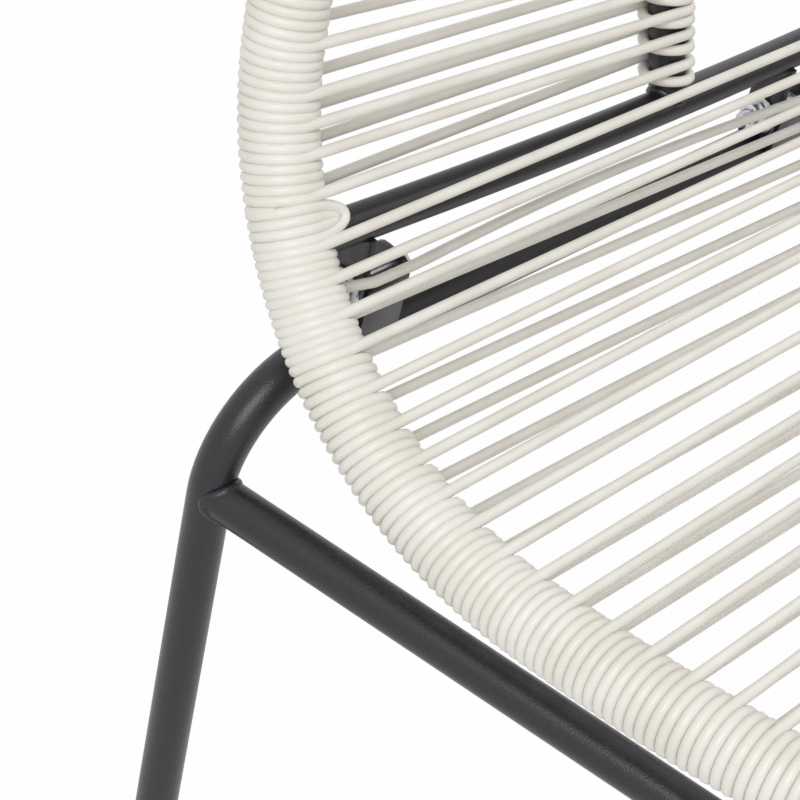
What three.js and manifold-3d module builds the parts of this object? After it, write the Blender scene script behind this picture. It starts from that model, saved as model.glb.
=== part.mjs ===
// Acapulco chair: a cord-wound steel ring basket on a bent tube base.
// Millimetres, +Z up. The chair faces -Y and +X is to its left.
import * as THREE from 'three';
import { mergeVertices } from 'three/addons/utils/BufferGeometryUtils.js';
import Module from 'manifold-3d';

const wasm = await Module();
wasm.setup();

// Driving dimensions of the basket.
const cordDiameter = 4.1;
const ringTubeDiameter = 25;
const seatHalfWidth = 328;
const frontRun = 430;
const backRun = 660;
const creaseHeight = 370;
const creaseRadius = 187;
const creaseAhead = 56;
const crossStation = 131.5;
const seatRiseDegrees = 8;
const backRiseDegrees = 76;
const frontRoundShare = 2.6;
const backRoundShare = 1.8;

// Cross tube and inner hoop of the basket.
const crossTubeDiameter = 17;
const crossTubeSag = 9.6;
const crossTubeForward = 4.8;
const hoopHalfWidth = 87;
const hoopStraight = 290;
const hoopReclineDegrees = 20;
const fanShare = 0.9;

// Cord: how it leaves the ring.
const turnsPerRib = 8;
const ribsPerStrand = 1;
const ribDepth = 1.4;
const leastStrandStep = 9;
const frontMargin = 26;
const weldGap = 11;
const ringJointGap = 7.3;

// Leg frames and stretchers.
const frameTubeDiameter = 20;
const legBendRadius = 58;
const rearFrameOutset = 16.5;
const rearTopForward = 3;
const rearTopDrop = 69;
const rearSplayShare = 0.077;
const rearLeanShare = 0.091;
const frontLegAhead = 485;
const frontSplayShare = 0.077;
const frontLeanShare = 0.06;
const stretcherDrop = 120;
const stretcherToeShare = 0.208;

// Brackets, tabs and fasteners.
const plateThickness = 4;
const channelWall = 3;
const channelWidth = 24;
const channelDepth = 22;
const bracketInset = 40;
const tabWidth = 19;
const tabLength = 46;
const tabRoundShare = 0.33;
const channelTopDrop = 25.5;
const boltDrop = 35;
const boltDiameter = 8;
const boltOverhang = 6;
const headAcross = 13;
const headHeight = 5.3;
const nutHeight = 6.5;
const washerDiameter = 20;
const washerThickness = 1.6;
const frontTabInset = 52;
const frontTabWidth = 20;
const frontTabSlot = 34;
const frontTabRise = 3;
const holeClearance = 0.4;

// Foot caps.
const footDiameter = 27;
const footHeight = 34;
const footSole = 6;
const footSinkShare = 0.25;

// Fits and modelling allowances.
const clearance = 0.3;
const overrun = 5;

const ringTubeRadius = ringTubeDiameter / 2;
const rimRadius = ringTubeRadius + cordDiameter;
const crossTubeRadius = crossTubeDiameter / 2;
const hoopTubeRadius = crossTubeRadius;
const hoopWrapRadius = hoopTubeRadius + cordDiameter;
const frameTubeRadius = frameTubeDiameter / 2;
const rearCornerHalf = seatHalfWidth + rearFrameOutset;
const boltRadius = boltDiameter / 2;
const seatRise = THREE.MathUtils.degToRad(seatRiseDegrees);
const backRise = THREE.MathUtils.degToRad(backRiseDegrees);
const hoopRecline = THREE.MathUtils.degToRad(hoopReclineDegrees);

// Materials.
const steelPaint = { color: 0x38373b, roughness: 0.55, metalness: 0.3 };
const zincSteel = { color: 0xb9bcc0, roughness: 0.35, metalness: 0.9 };
const cordVinyl = { color: 0xede9e2, roughness: 0.5, metalness: 0 };
const footPlastic = { color: 0x1d1d1f, roughness: 0.7, metalness: 0 };

const chair = new THREE.Group();

function addPart(name, geometry, look) {
  geometry.computeVertexNormals();
  const mesh = new THREE.Mesh(geometry, new THREE.MeshStandardMaterial(look));
  mesh.name = name;
  chair.add(mesh);
}

// Booleans on three.js geometry.
function toSolid(geometry) {
  const bare = geometry.clone();
  bare.deleteAttribute('normal');
  bare.deleteAttribute('uv');
  const merged = mergeVertices(bare);
  return new wasm.Manifold(new wasm.Mesh({
    numProp: 3,
    vertProperties: Float32Array.from(merged.attributes.position.array),
    triVerts: Uint32Array.from(merged.index.array),
  }));
}

function toGeometry(solid) {
  const mesh = solid.getMesh();
  const geometry = new THREE.BufferGeometry();
  geometry.setAttribute('position', new THREE.BufferAttribute(mesh.vertProperties, 3));
  geometry.setIndex(new THREE.BufferAttribute(mesh.triVerts, 1));
  return geometry;
}

function cut(base, cutters) {
  let solid = toSolid(base);
  for (const cutter of cutters) solid = solid.subtract(toSolid(cutter));
  return toGeometry(solid.asOriginal());
}

function fuse(pieces) {
  let solid = toSolid(pieces[0]);
  for (const piece of pieces.slice(1)) solid = solid.add(toSolid(piece));
  return toGeometry(solid.asOriginal());
}

// The seat and back surface in profile. A station is the distance along it
// behind the widest place of the ring.
function rawProfile(station) {
  const along = station + creaseAhead;
  const bend = (seatRise + backRise) * creaseRadius;
  if (along <= 0) {
    return { y: along * Math.cos(seatRise), z: -along * Math.sin(seatRise), slope: -seatRise };
  }
  const slope = Math.min(along, bend) / creaseRadius - seatRise;
  const beyond = Math.max(along - bend, 0);
  return {
    y: creaseRadius * (Math.sin(slope) + Math.sin(seatRise)) + beyond * Math.cos(slope),
    z: creaseRadius * (Math.cos(seatRise) - Math.cos(slope)) + beyond * Math.sin(slope),
    slope,
  };
}

const creaseOrigin = rawProfile(crossStation);

function profile(station) {
  const raw = rawProfile(station);
  return {
    y: raw.y - creaseOrigin.y,
    z: raw.z - creaseOrigin.z + creaseHeight,
    slope: raw.slope,
  };
}

// The +X half of the ring's centre line, from the front to the top.
class RingHalf extends THREE.Curve {
  station(t) {
    const angle = (2 * t - 1) * Math.PI / 2;
    if (t < 0.5) return -frontRun * Math.sin(-angle) ** (2 / frontRoundShare);
    return backRun * Math.sin(angle) ** (2 / backRoundShare);
  }

  halfWidth(t) {
    const cosine = Math.max(Math.cos((2 * t - 1) * Math.PI / 2), 0);
    return seatHalfWidth * (t < 0.5 ? cosine ** (2 / frontRoundShare) : cosine);
  }

  getPoint(t) {
    const { y, z } = profile(this.station(t));
    return new THREE.Vector3(this.halfWidth(t), y, z);
  }
}

const ringHalf = new RingHalf();
ringHalf.arcLengthDivisions = 2400;
const halfLength = ringHalf.getLength();

// A ring place is its length from the front: plus on the +X side, minus on
// the other, and halfLength at the top.
function ringPoint(place) {
  const point = ringHalf.getPointAt(Math.min(Math.abs(place) / halfLength, 1));
  return point.set(place < 0 ? -point.x : point.x, point.y, point.z);
}

function ringStation(place) {
  return ringHalf.station(ringHalf.getUtoTmapping(Math.min(Math.abs(place) / halfLength, 1)));
}

function placeAtStation(station) {
  let low = 0;
  let high = halfLength;
  for (let i = 0; i < 40; i++) {
    const middle = (low + high) / 2;
    if (ringStation(middle) < station) low = middle;
    else high = middle;
  }
  return low;
}

function surfaceNormal(place) {
  const { slope } = profile(ringStation(place));
  return new THREE.Vector3(0, -Math.sin(slope), Math.cos(slope));
}

const crossPlace = placeAtStation(crossStation);
const jointPlace = crossPlace + ringJointGap;

// A stretch of the ring tube, in straight steps of a rib and a half.
const ribPitch = turnsPerRib * cordDiameter;
const ringsPerStep = 2;

class RingStretch extends THREE.Curve {
  constructor(from, to) {
    super();
    this.from = from;
    this.length = to - from;
    this.steps = 2 * Math.round(this.length / (ribPitch * ringsPerStep));
    this.stepLength = this.length / this.steps;
    this.ringPitch = this.stepLength / ringsPerStep;
  }

  getPoint(t) {
    const place = this.from + t * this.length;
    return ringPoint(this.wraps && place > halfLength ? place - 2 * halfLength : place);
  }

  chordPoint(place) {
    const step = Math.min(Math.floor((place - this.from) / this.stepLength), this.steps - 1);
    const start = this.getPoint(step / this.steps);
    const end = this.getPoint((step + 1) / this.steps);
    return start.lerp(end, (place - this.from) / this.stepLength - step);
  }
}

function sectionShape(radius, sides) {
  const corners = [];
  for (let i = 0; i < sides; i++) {
    const angle = 2 * Math.PI * (i + 0.5) / sides;
    corners.push(new THREE.Vector2(radius * Math.cos(angle), radius * Math.sin(angle)));
  }
  return new THREE.Shape(corners);
}

function tubeAlong(path, radius, sides, steps) {
  return new THREE.ExtrudeGeometry(sectionShape(radius, sides), { steps, extrudePath: path });
}

const ringSides = 8;
const seatStretch = new RingStretch(-jointPlace, jointPlace);
const backStretch = new RingStretch(jointPlace + clearance, 2 * halfLength - jointPlace - clearance);
backStretch.wraps = true;

function ringTube(stretch, radius) {
  return tubeAlong(stretch, radius, ringSides, stretch.steps);
}

const ringBores = [seatStretch, backStretch].map(
  (stretch) => ringTube(stretch, ringTubeRadius + clearance),
);

addPart('seat_ring_tube', ringTube(seatStretch, ringTubeRadius), steelPaint);
addPart('back_ring_tube', ringTube(backStretch, ringTubeRadius), steelPaint);

// A bent rod through corners: straight between them, round at each corner.
class BentRod extends THREE.Curve {
  constructor(points, bendRadius, bendSteps) {
    super();
    this.samples = [];
    const directions = points.slice(1).map((p, i) => p.clone().sub(points[i]).normalize());
    this.samples.push({ point: points[0], tangent: directions[0] });
    for (let i = 1; i < points.length - 1; i++) {
      const [before, after] = [directions[i - 1], directions[i]];
      const angle = before.angleTo(after);
      const inward = after.clone().addScaledVector(before, -before.dot(after)).normalize();
      const start = points[i].clone().addScaledVector(before, -bendRadius * Math.tan(angle / 2));
      for (let j = 0; j <= bendSteps; j++) {
        const turned = angle * j / bendSteps;
        const point = start.clone().addScaledVector(before, bendRadius * Math.sin(turned));
        point.addScaledVector(inward, bendRadius * (1 - Math.cos(turned)));
        const tangent = before.clone().multiplyScalar(Math.cos(turned));
        tangent.addScaledVector(inward, Math.sin(turned));
        this.samples.push({ point, tangent });
      }
    }
    this.samples.push({ point: points.at(-1), tangent: directions.at(-1) });
    this.steps = this.samples.length - 1;
  }

  sample(t) {
    return this.samples[Math.round(t * this.steps)];
  }

  getPointAt(t) {
    return this.sample(t).point.clone();
  }

  getTangentAt(t) {
    return this.sample(t).tangent.clone();
  }
}

const frameSides = 12;

function rodTube(rod, radius) {
  return tubeAlong(rod, radius, frameSides, rod.steps);
}

// Cross tube: a gentle bow between the ring's sides.
const crossHalf = ringPoint(crossPlace).x;
const bracketPlace = crossHalf - bracketInset;

class CrossTubeLine extends THREE.Curve {
  getPoint(t) {
    const across = 2 * t - 1;
    const bow = 1 - across * across;
    return new THREE.Vector3(
      across * crossHalf,
      -crossTubeForward * bow,
      creaseHeight - crossTubeSag * bow,
    );
  }
}

const crossTubeLine = new CrossTubeLine();
const crossSteps = 16;

function crossTube(radius) {
  return tubeAlong(crossTubeLine, radius, frameSides, crossSteps);
}

function crossPoint(x) {
  return crossTubeLine.getPoint((x / crossHalf + 1) / 2);
}

addPart('cross_tube', cut(crossTube(crossTubeRadius), ringBores), steelPaint);
const crossCut = crossTube(crossTubeRadius + clearance);

// Inner hoop: an inverted U leaning back from the cross tube. A hoop place
// is the length from its top, plus on the +X side.
const hoopHalfLength = hoopStraight + hoopHalfWidth * Math.PI / 2;
const hoopFoot = crossPoint(hoopHalfWidth);

function hoopPoint(place) {
  const side = Math.sign(place);
  const round = Math.min(Math.abs(place) / hoopHalfWidth, Math.PI / 2);
  const down = Math.max(Math.abs(place) - hoopHalfWidth * Math.PI / 2, 0);
  const height = hoopStraight + hoopHalfWidth * Math.cos(round) - down;
  return new THREE.Vector3(
    side * hoopHalfWidth * Math.sin(round),
    hoopFoot.y + height * Math.sin(hoopRecline),
    hoopFoot.z + height * Math.cos(hoopRecline),
  );
}

class HoopLine extends THREE.Curve {
  getPoint(t) {
    return hoopPoint((2 * t - 1) * hoopHalfLength);
  }
}

const hoopLine = new HoopLine();
const hoopSides = 8;
const hoopSteps = 24;
const hoopStep = 2 * hoopHalfLength / hoopSteps;

function hoopTube(radius) {
  return tubeAlong(hoopLine, radius, hoopSides, hoopSteps);
}

addPart('back_hoop', cut(hoopTube(hoopTubeRadius), [crossCut]), steelPaint);
const hoopBore = hoopTube(hoopTubeRadius + clearance);

// Leg frames: inverted U tubes whose legs splay.
function legRod(cornerHalf, topY, topZ, splay, lean, extra) {
  const drop = topZ - footSole + extra;
  const corners = [-1, 1].map((side) => new THREE.Vector3(side * cornerHalf, topY, topZ));
  const feet = [-1, 1].map((side, i) => corners[i].clone().add(
    new THREE.Vector3(side * splay * drop, lean * drop, -drop),
  ));
  return new BentRod([feet[0], corners[0], corners[1], feet[1]], legBendRadius, 6);
}

const rearTop = creaseHeight - rearTopDrop;
const stretcherZ = creaseHeight - stretcherDrop;

function stretcherX(y) {
  return rearCornerHalf + rearSplayShare * (stretcherDrop - rearTopDrop)
    + stretcherToeShare * (y + rearTopForward);
}

const frontTabPlace = (() => {
  let place = 0;
  while (ringPoint(place).x < stretcherX(-frontLegAhead) - frontTabInset) place += cordDiameter;
  return place;
})();
const frontTop = ringPoint(frontTabPlace).z - rimRadius - frameTubeRadius - frontTabRise;
const frontCornerHalf = stretcherX(-frontLegAhead) - frontSplayShare * (frontTop - stretcherZ);

function rearFrame(radius, extra) {
  const rod = legRod(rearCornerHalf, -rearTopForward, rearTop, rearSplayShare, -rearLeanShare, extra);
  return rodTube(rod, radius);
}

function frontFrame(radius, extra) {
  const rod = legRod(
    frontCornerHalf, -frontLegAhead, frontTop, frontSplayShare, -frontLeanShare, extra,
  );
  return rodTube(rod, radius);
}

const rearCut = rearFrame(frameTubeRadius + clearance, clearance);
const frontCut = frontFrame(frameTubeRadius + clearance, clearance);

// Bolt along an axis, with its washer and nut on the thread side.
function cylinderAlong(radius, start, direction, length, sides) {
  const geometry = new THREE.CylinderGeometry(radius, radius, length, sides);
  const turn = new THREE.Quaternion().setFromUnitVectors(new THREE.Vector3(0, 1, 0), direction);
  geometry.applyQuaternion(turn);
  const middle = start.clone().addScaledVector(direction, length / 2);
  return geometry.translate(middle.x, middle.y, middle.z);
}

const hexRadius = headAcross / Math.sqrt(3);
const boltSides = 12;

function addFastener(place, headFace, axis, grip) {
  const nutFace = headFace.clone().addScaledVector(axis, grip);
  const seat = headFace.clone().addScaledVector(axis, -clearance);
  const shank = grip + 3 * clearance + washerThickness + nutHeight + boltOverhang;
  const head = cylinderAlong(hexRadius, seat, axis.clone().negate(), headHeight, 6);
  const stem = cylinderAlong(
    boltRadius, seat.clone().addScaledVector(axis, -headHeight / 2), axis,
    shank + headHeight / 2, boltSides,
  );
  addPart(`${place}_bolt`, fuse([head, stem]), zincSteel);
  const hole = cylinderAlong(
    boltRadius + clearance, seat, axis, shank + overrun, boltSides,
  );
  const washerFace = nutFace.clone().addScaledVector(axis, clearance);
  const washer = cylinderAlong(washerDiameter / 2, washerFace, axis, washerThickness, 16);
  addPart(`${place}_washer`, cut(washer, [hole]), zincSteel);
  const nutStart = washerFace.clone().addScaledVector(axis, washerThickness + clearance);
  const nut = cylinderAlong(hexRadius, nutStart, axis, nutHeight, 6);
  addPart(`${place}_nut`, cut(nut, [hole]), zincSteel);
}

function boltHole(start, axis, length) {
  const from = start.clone().addScaledVector(axis, -overrun);
  return cylinderAlong(boltRadius + holeClearance, from, axis, length + 2 * overrun, boltSides);
}

function box(low, high) {
  const size = high.clone().sub(low);
  const geometry = new THREE.BoxGeometry(size.x, size.y, size.z);
  return geometry.translate(...low.clone().add(high).multiplyScalar(0.5).toArray());
}

// Three rear joints: a plate tab under the cross tube, bolted to a channel
// bracket that stands on the rear frame.
function roundEnded(x, thickness, middleY, width, squareEnd, roundEnd) {
  const outline = new THREE.Shape();
  const half = width / 2;
  const round = width * tabRoundShare;
  const shoulder = roundEnd + round * Math.sign(squareEnd - roundEnd);
  outline.moveTo(middleY - half, squareEnd);
  outline.lineTo(middleY - half, shoulder);
  outline.quadraticCurveTo(middleY - half, roundEnd, middleY - half + round, roundEnd);
  outline.lineTo(middleY + half - round, roundEnd);
  outline.quadraticCurveTo(middleY + half, roundEnd, middleY + half, shoulder);
  outline.lineTo(middleY + half, squareEnd);
  const plate = new THREE.ExtrudeGeometry(outline, {
    depth: thickness, bevelEnabled: false, curveSegments: 4,
  });
  const stand = new THREE.Matrix4().makeBasis(
    new THREE.Vector3(0, 1, 0), new THREE.Vector3(0, 0, 1), new THREE.Vector3(1, 0, 0),
  );
  return plate.applyMatrix4(stand).translate(x, 0, 0);
}

const rearAxis = new THREE.Vector3(-1, 0, 0);
const rearJoints = [
  { place: 'left', middle: bracketPlace, axis: rearAxis.clone().negate() },
  { place: 'centre', middle: (plateThickness + clearance) / 2, axis: rearAxis },
  { place: 'right', middle: -bracketPlace, axis: rearAxis },
];

for (const { place, middle, axis } of rearJoints) {
  const outward = axis.x;
  const tube = crossPoint(middle);
  const boltY = tube.y;
  const boltZ = tube.z - boltDrop;
  const tabNear = middle + outward * (clearance / 2);
  const tabLow = Math.min(tabNear, tabNear + outward * plateThickness);
  const boltStart = new THREE.Vector3(middle - outward * (channelWidth + clearance / 2), boltY, boltZ);
  const grip = channelWidth + clearance + plateThickness;
  const hole = boltHole(boltStart, axis, grip);
  const tabTop = tube.z - crossTubeRadius / 2;
  const tab = roundEnded(
    tabLow, plateThickness, boltY, tabWidth, tabTop, tube.z - tabLength,
  );
  addPart(`${place}_basket_tab`, cut(tab, [crossCut, hole]), steelPaint);

  const channelNear = middle - outward * (clearance / 2);
  const channelFar = channelNear - outward * channelWidth;
  const low = new THREE.Vector3(
    Math.min(channelNear, channelFar), boltY - channelDepth / 2, rearTop,
  );
  const high = new THREE.Vector3(
    Math.max(channelNear, channelFar), boltY + channelDepth / 2, tube.z - channelTopDrop,
  );
  const hollowLow = low.clone().add(new THREE.Vector3(channelWall, channelWall, -overrun));
  const hollowHigh = high.clone().add(new THREE.Vector3(-channelWall, overrun, overrun));
  const block = roundEnded(low.x, channelWidth, boltY, channelDepth, low.z, high.z);
  const channel = cut(block, [box(hollowLow, hollowHigh), rearCut, hole]);
  addPart(`${place}_base_bracket`, channel, steelPaint);
  addFastener(`${place}_rear`, boltStart, axis, grip);
}

// Front tabs: straps from the ring tube down the face of the front frame.
const frontAxis = new THREE.Vector3(0, 1, 0);
const frontBores = [];
for (const [place, side] of [['left', 1], ['right', -1]]) {
  const ring = ringPoint(side * frontTabPlace);
  const face = -frontLegAhead - frameTubeRadius - clearance;
  const low = new THREE.Vector3(
    ring.x - frontTabWidth / 2, face - plateThickness, frontTop - frameTubeRadius,
  );
  const high = new THREE.Vector3(ring.x + frontTabWidth / 2, face, ring.z);
  const boltStart = new THREE.Vector3(ring.x, face - plateThickness, frontTop);
  const grip = plateThickness + clearance + frameTubeDiameter;
  const hole = boltHole(boltStart, frontAxis, grip);
  frontBores.push(hole);
  addPart(`${place}_front_tab`, cut(box(low, high), [...ringBores, hole]), steelPaint);
  addFastener(`${place}_front`, boltStart, frontAxis, grip);
}

addPart('rear_leg_frame', rearFrame(frameTubeRadius, 0), steelPaint);
addPart('front_leg_frame', cut(frontFrame(frameTubeRadius, 0), frontBores), steelPaint);

// Stretchers between the legs, and a cap on each foot.
function rodBetween(start, end, radius) {
  const axis = end.clone().sub(start);
  const length = axis.length();
  return cylinderAlong(radius, start, axis.normalize(), length, frameSides);
}

function legAxisAt(z, cornerHalf, topY, topZ, splay, lean) {
  const drop = topZ - z;
  return new THREE.Vector3(cornerHalf + splay * drop, topY + lean * drop, z);
}

function addLegPieces(place, side) {
  const flip = new THREE.Vector3(side, 1, 1);
  const rear = (z) => legAxisAt(
    z, rearCornerHalf, -rearTopForward, rearTop, rearSplayShare, -rearLeanShare,
  ).multiply(flip);
  const front = (z) => legAxisAt(
    z, frontCornerHalf, -frontLegAhead, frontTop, frontSplayShare, -frontLeanShare,
  ).multiply(flip);
  const bar = rodBetween(rear(stretcherZ), front(stretcherZ), frameTubeRadius);
  addPart(`${place}_stretcher`, cut(bar, [rearCut, frontCut]), steelPaint);
  const ground = box(
    new THREE.Vector3(-2 * seatHalfWidth, -2 * frontRun, -footHeight),
    new THREE.Vector3(2 * seatHalfWidth, frontRun, 0),
  );
  for (const [end, leg, legCut] of [['rear', rear, rearCut], ['front', front, frontCut]]) {
    const cap = rodBetween(leg(-footHeight * footSinkShare), leg(footHeight), footDiameter / 2);
    addPart(`${place}_${end}_foot_cap`, cut(cap, [legCut, ground]), footPlastic);
  }
}

addLegPieces('left', 1);
addLegPieces('right', -1);

// Cord: ribbed sleeves of turns round the ring and hoop, with the taut
// strands fused between them, one body for each stretch of the weave.
function loft(rings) {
  const sides = rings[0].length;
  const positions = rings.flat().flatMap((p) => p.toArray());
  const index = [];
  for (let i = 0; i < rings.length - 1; i++) {
    for (let j = 0; j < sides; j++) {
      const a = i * sides + j;
      const b = i * sides + (j + 1) % sides;
      index.push(a, b + sides, b, a, a + sides, b + sides);
    }
  }
  const last = (rings.length - 1) * sides;
  for (let j = 1; j < sides - 1; j++) {
    index.push(0, j, j + 1);
    index.push(last, last + j + 1, last + j);
  }
  const geometry = new THREE.BufferGeometry();
  geometry.setAttribute('position', new THREE.Float32BufferAttribute(positions, 3));
  geometry.setIndex(index);
  return geometry;
}

function ringAround(centre, tangent, up, radius, sides) {
  const across = new THREE.Vector3().crossVectors(tangent, up).normalize();
  const ring = [];
  for (let i = 0; i < sides; i++) {
    const angle = 2 * Math.PI * (i + 0.5) / sides;
    const point = centre.clone().addScaledVector(up, radius * Math.cos(angle));
    ring.push(point.addScaledVector(across, -radius * Math.sin(angle)));
  }
  return ring;
}

// Sleeve over a stretch of the ring tube, with alternate rings drawn in.
function ringSleeve(stretch, from, to) {
  const pitch = stretch.ringPitch;
  const places = [from];
  for (let at = stretch.from; at < to - cordDiameter / 2; at += pitch) {
    if (at > from + cordDiameter / 2) places.push(at);
  }
  places.push(to);
  const rings = places.map((at) => {
    const lines = (at - stretch.from) / pitch;
    const drawnIn = Math.abs(lines - 2 * Math.round(lines / 2));
    const wrapped = stretch.wraps && at > halfLength ? at - 2 * halfLength : at;
    const tangent = stretch.getTangent((at - stretch.from) / stretch.length);
    const radius = rimRadius - ribDepth * drawnIn;
    return ringAround(stretch.chordPoint(at), tangent, surfaceNormal(wrapped), radius, ringSides);
  });
  return loft(rings);
}

function hoopSleeve(from, to) {
  const first = Math.floor((from + hoopHalfLength) / hoopStep) + 1;
  const last = Math.ceil((to + hoopHalfLength) / hoopStep) - 1;
  const places = [from];
  for (let i = first; i <= last; i++) places.push(i * hoopStep - hoopHalfLength);
  places.push(to);
  const up = new THREE.Vector3(0, -Math.cos(hoopRecline), Math.sin(hoopRecline));
  const rings = places.map((place) => {
    const tangent = hoopLine.getTangent((place / hoopHalfLength + 1) / 2);
    const step = Math.floor((place + hoopHalfLength) / hoopStep);
    const start = hoopPoint(step * hoopStep - hoopHalfLength);
    const end = hoopPoint((step + 1) * hoopStep - hoopHalfLength);
    const centre = start.lerp(end, (place + hoopHalfLength) / hoopStep - step);
    return ringAround(centre, tangent, up, hoopWrapRadius, hoopSides);
  });
  return loft(rings);
}

function strand(start, end) {
  const bar = new THREE.BoxGeometry(cordDiameter, cordDiameter, start.distanceTo(end));
  const turn = new THREE.Quaternion().setFromUnitVectors(
    new THREE.Vector3(0, 0, 1), end.clone().sub(start).normalize(),
  );
  bar.applyQuaternion(turn);
  return bar.translate(...start.clone().add(end).multiplyScalar(0.5).toArray());
}

// A strand leaves from the upper inner side of the ring.
function strandEnd(place) {
  const side = Math.sign(place);
  const up = surfaceNormal(place);
  const ahead = ringPoint(place + side * cordDiameter).sub(ringPoint(place)).normalize();
  const inward = new THREE.Vector3().crossVectors(ahead, up).multiplyScalar(-side);
  const reach = ringTubeRadius * Math.SQRT1_2;
  return ringPoint(place).addScaledVector(up, reach).addScaledVector(inward, reach);
}

function weavePiece(name, sleeves, strands, bores) {
  addPart(name, cut(fuse([...sleeves, ...strands]), bores), cordVinyl);
}

// Seat: each piece is a ladder of strands between two sleeves.
const ribLength = 2 * seatStretch.ringPitch;
const strandStep = ribsPerStrand * ribLength;
const ribStart = jointPlace - ribLength;
const seatRear = crossPlace - weldGap;

function seatStrandPlaces() {
  const places = [];
  let place = ribStart - ribLength / 4;
  let station = ringStation(place) + leastStrandStep;
  while (ringStation(place) > frontMargin - frontRun) {
    if (station - ringStation(place) >= leastStrandStep) {
      places.push(place);
      station = ringStation(place);
    }
    place -= strandStep;
  }
  return places;
}

const seatStrands = seatStrandPlaces();

function seatStrandsBetween(from, to) {
  return seatStrands.filter((place) => place > from && place < to).map(
    (place) => strand(strandEnd(-place), strandEnd(place)),
  );
}

const slotHalf = frontTabSlot / 2;
const tabFront = frontTabPlace - slotHalf;
weavePiece(
  'seat_weave_front',
  [ringSleeve(seatStretch, -tabFront, tabFront)],
  seatStrandsBetween(0, tabFront - cordDiameter),
  ringBores,
);

const seatPieces = 4;
const tabRear = frontTabPlace + slotHalf;
const seatRibs = Math.floor((ribStart - tabRear) / ribLength);
for (let i = 0; i < seatPieces; i++) {
  const ribsFrom = Math.round(seatRibs * (i + 1) / seatPieces);
  const ribsTo = Math.round(seatRibs * i / seatPieces);
  const last = i === seatPieces - 1;
  const from = last ? tabRear : ribStart - ribsFrom * ribLength + clearance / 2;
  const to = i ? ribStart - ribsTo * ribLength - clearance / 2 : seatRear;
  weavePiece(
    `seat_weave_${i + 1}`,
    [ringSleeve(seatStretch, from, to), ringSleeve(seatStretch, -to, -from)],
    seatStrandsBetween(from + (last ? cordDiameter : 0), to),
    ringBores,
  );
}

// Back: strands fan from the ring to the hoop, closer together on the hoop.
const backStart = crossPlace + weldGap;
const hoopSleeveFoot = hoopHalfLength - crossTubeRadius - clearance;
const fanPieces = 3;
const backRibLength = 2 * backStretch.ringPitch;
const backRibStart = backStretch.from + backRibLength / 2;
const backRibs = Math.round((halfLength - backRibStart) / backRibLength);

function fanPlace(place) {
  const share = (place - backStart) / (halfLength - backStart);
  return hoopSleeveFoot * (1 - share ** fanShare);
}

function fanStrands(side, from, to) {
  const strands = [];
  for (let i = 0; i < backRibs; i++) {
    const place = backRibStart + (i + 1 / 4) * backRibLength;
    if (place < from || place > to) continue;
    const outside = new THREE.Vector3(side * hoopTubeRadius / 2, 0, 0);
    strands.push(strand(strandEnd(side * place), hoopPoint(side * fanPlace(place)).add(outside)));
  }
  return strands;
}

for (const [word, side] of [['left', 1], ['right', -1]]) {
  for (let i = 0; i < fanPieces; i++) {
    const ribsFrom = Math.round(backRibs * i / fanPieces);
    const ribsTo = Math.round(backRibs * (i + 1) / fanPieces);
    const from = i ? backRibStart + ribsFrom * backRibLength + clearance / 2 : backStart;
    const atTop = i === fanPieces - 1;
    const to = (atTop ? halfLength : backRibStart + ribsTo * backRibLength) - clearance / 2;
    const hoopFrom = atTop ? clearance / 2 : fanPlace(to + clearance / 2) + clearance / 2;
    const hoopTo = fanPlace(from) - (i ? clearance / 2 : 0);
    const ringEnds = side > 0 ? [from, to] : [2 * halfLength - to, 2 * halfLength - from];
    const hoopEnds = side > 0 ? [hoopFrom, hoopTo] : [-hoopTo, -hoopFrom];
    weavePiece(
      `${word}_back_weave_${i + 1}`,
      [ringSleeve(backStretch, ...ringEnds), hoopSleeve(...hoopEnds)],
      fanStrands(side, from, to),
      [...ringBores, hoopBore],
    );
  }
}

// The origin is on the floor, under the middle of the chair's outline.
const outline = new THREE.Box3().setFromObject(chair);
chair.position.set(0, -(outline.min.y + outline.max.y) / 2, -outline.min.z);
chair.updateMatrixWorld(true);

export default chair;
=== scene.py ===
"""Looks of the acapulco chair: wound vinyl cord, powder-coated tube and zinc-plated bolts.

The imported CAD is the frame. Tubes, cords and fasteners are rebuilt at their real
shapes round it, in metres, in the same frame.
"""

from __future__ import annotations

import logging
import math
from dataclasses import dataclass, field
from enum import Enum
from itertools import chain, cycle

import bpy
import numpy as np
from mathutils import Matrix, Vector

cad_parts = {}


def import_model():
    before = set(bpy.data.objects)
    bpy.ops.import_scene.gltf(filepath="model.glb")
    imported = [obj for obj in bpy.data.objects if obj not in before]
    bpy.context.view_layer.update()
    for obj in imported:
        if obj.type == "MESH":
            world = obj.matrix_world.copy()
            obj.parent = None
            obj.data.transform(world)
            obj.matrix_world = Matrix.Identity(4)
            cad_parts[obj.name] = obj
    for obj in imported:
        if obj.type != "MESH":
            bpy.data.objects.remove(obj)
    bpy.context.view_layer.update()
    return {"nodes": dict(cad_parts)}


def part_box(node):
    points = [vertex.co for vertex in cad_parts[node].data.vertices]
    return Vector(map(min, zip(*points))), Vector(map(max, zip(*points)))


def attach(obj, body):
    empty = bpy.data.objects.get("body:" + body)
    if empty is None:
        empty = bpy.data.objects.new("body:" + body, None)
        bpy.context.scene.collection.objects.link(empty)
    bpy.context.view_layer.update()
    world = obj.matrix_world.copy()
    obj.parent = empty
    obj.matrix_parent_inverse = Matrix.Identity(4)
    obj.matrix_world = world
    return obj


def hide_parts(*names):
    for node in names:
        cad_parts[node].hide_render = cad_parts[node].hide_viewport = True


LOG = logging.getLogger("acapulco_chair")
BODY = "root"
MM = 0.001
MERGE = 0.01 * MM
HALF_TURN = 0.5
WHITE = (1, 1, 1, 1)
REAR_JOINT_PLATES = tuple(
    f"{place}_{part}"
    for place in ("left", "centre", "right")
    for part in ("basket_tab", "base_bracket")
)
Pair = tuple[float, float]
Triple = tuple[float, float, float]


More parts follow.
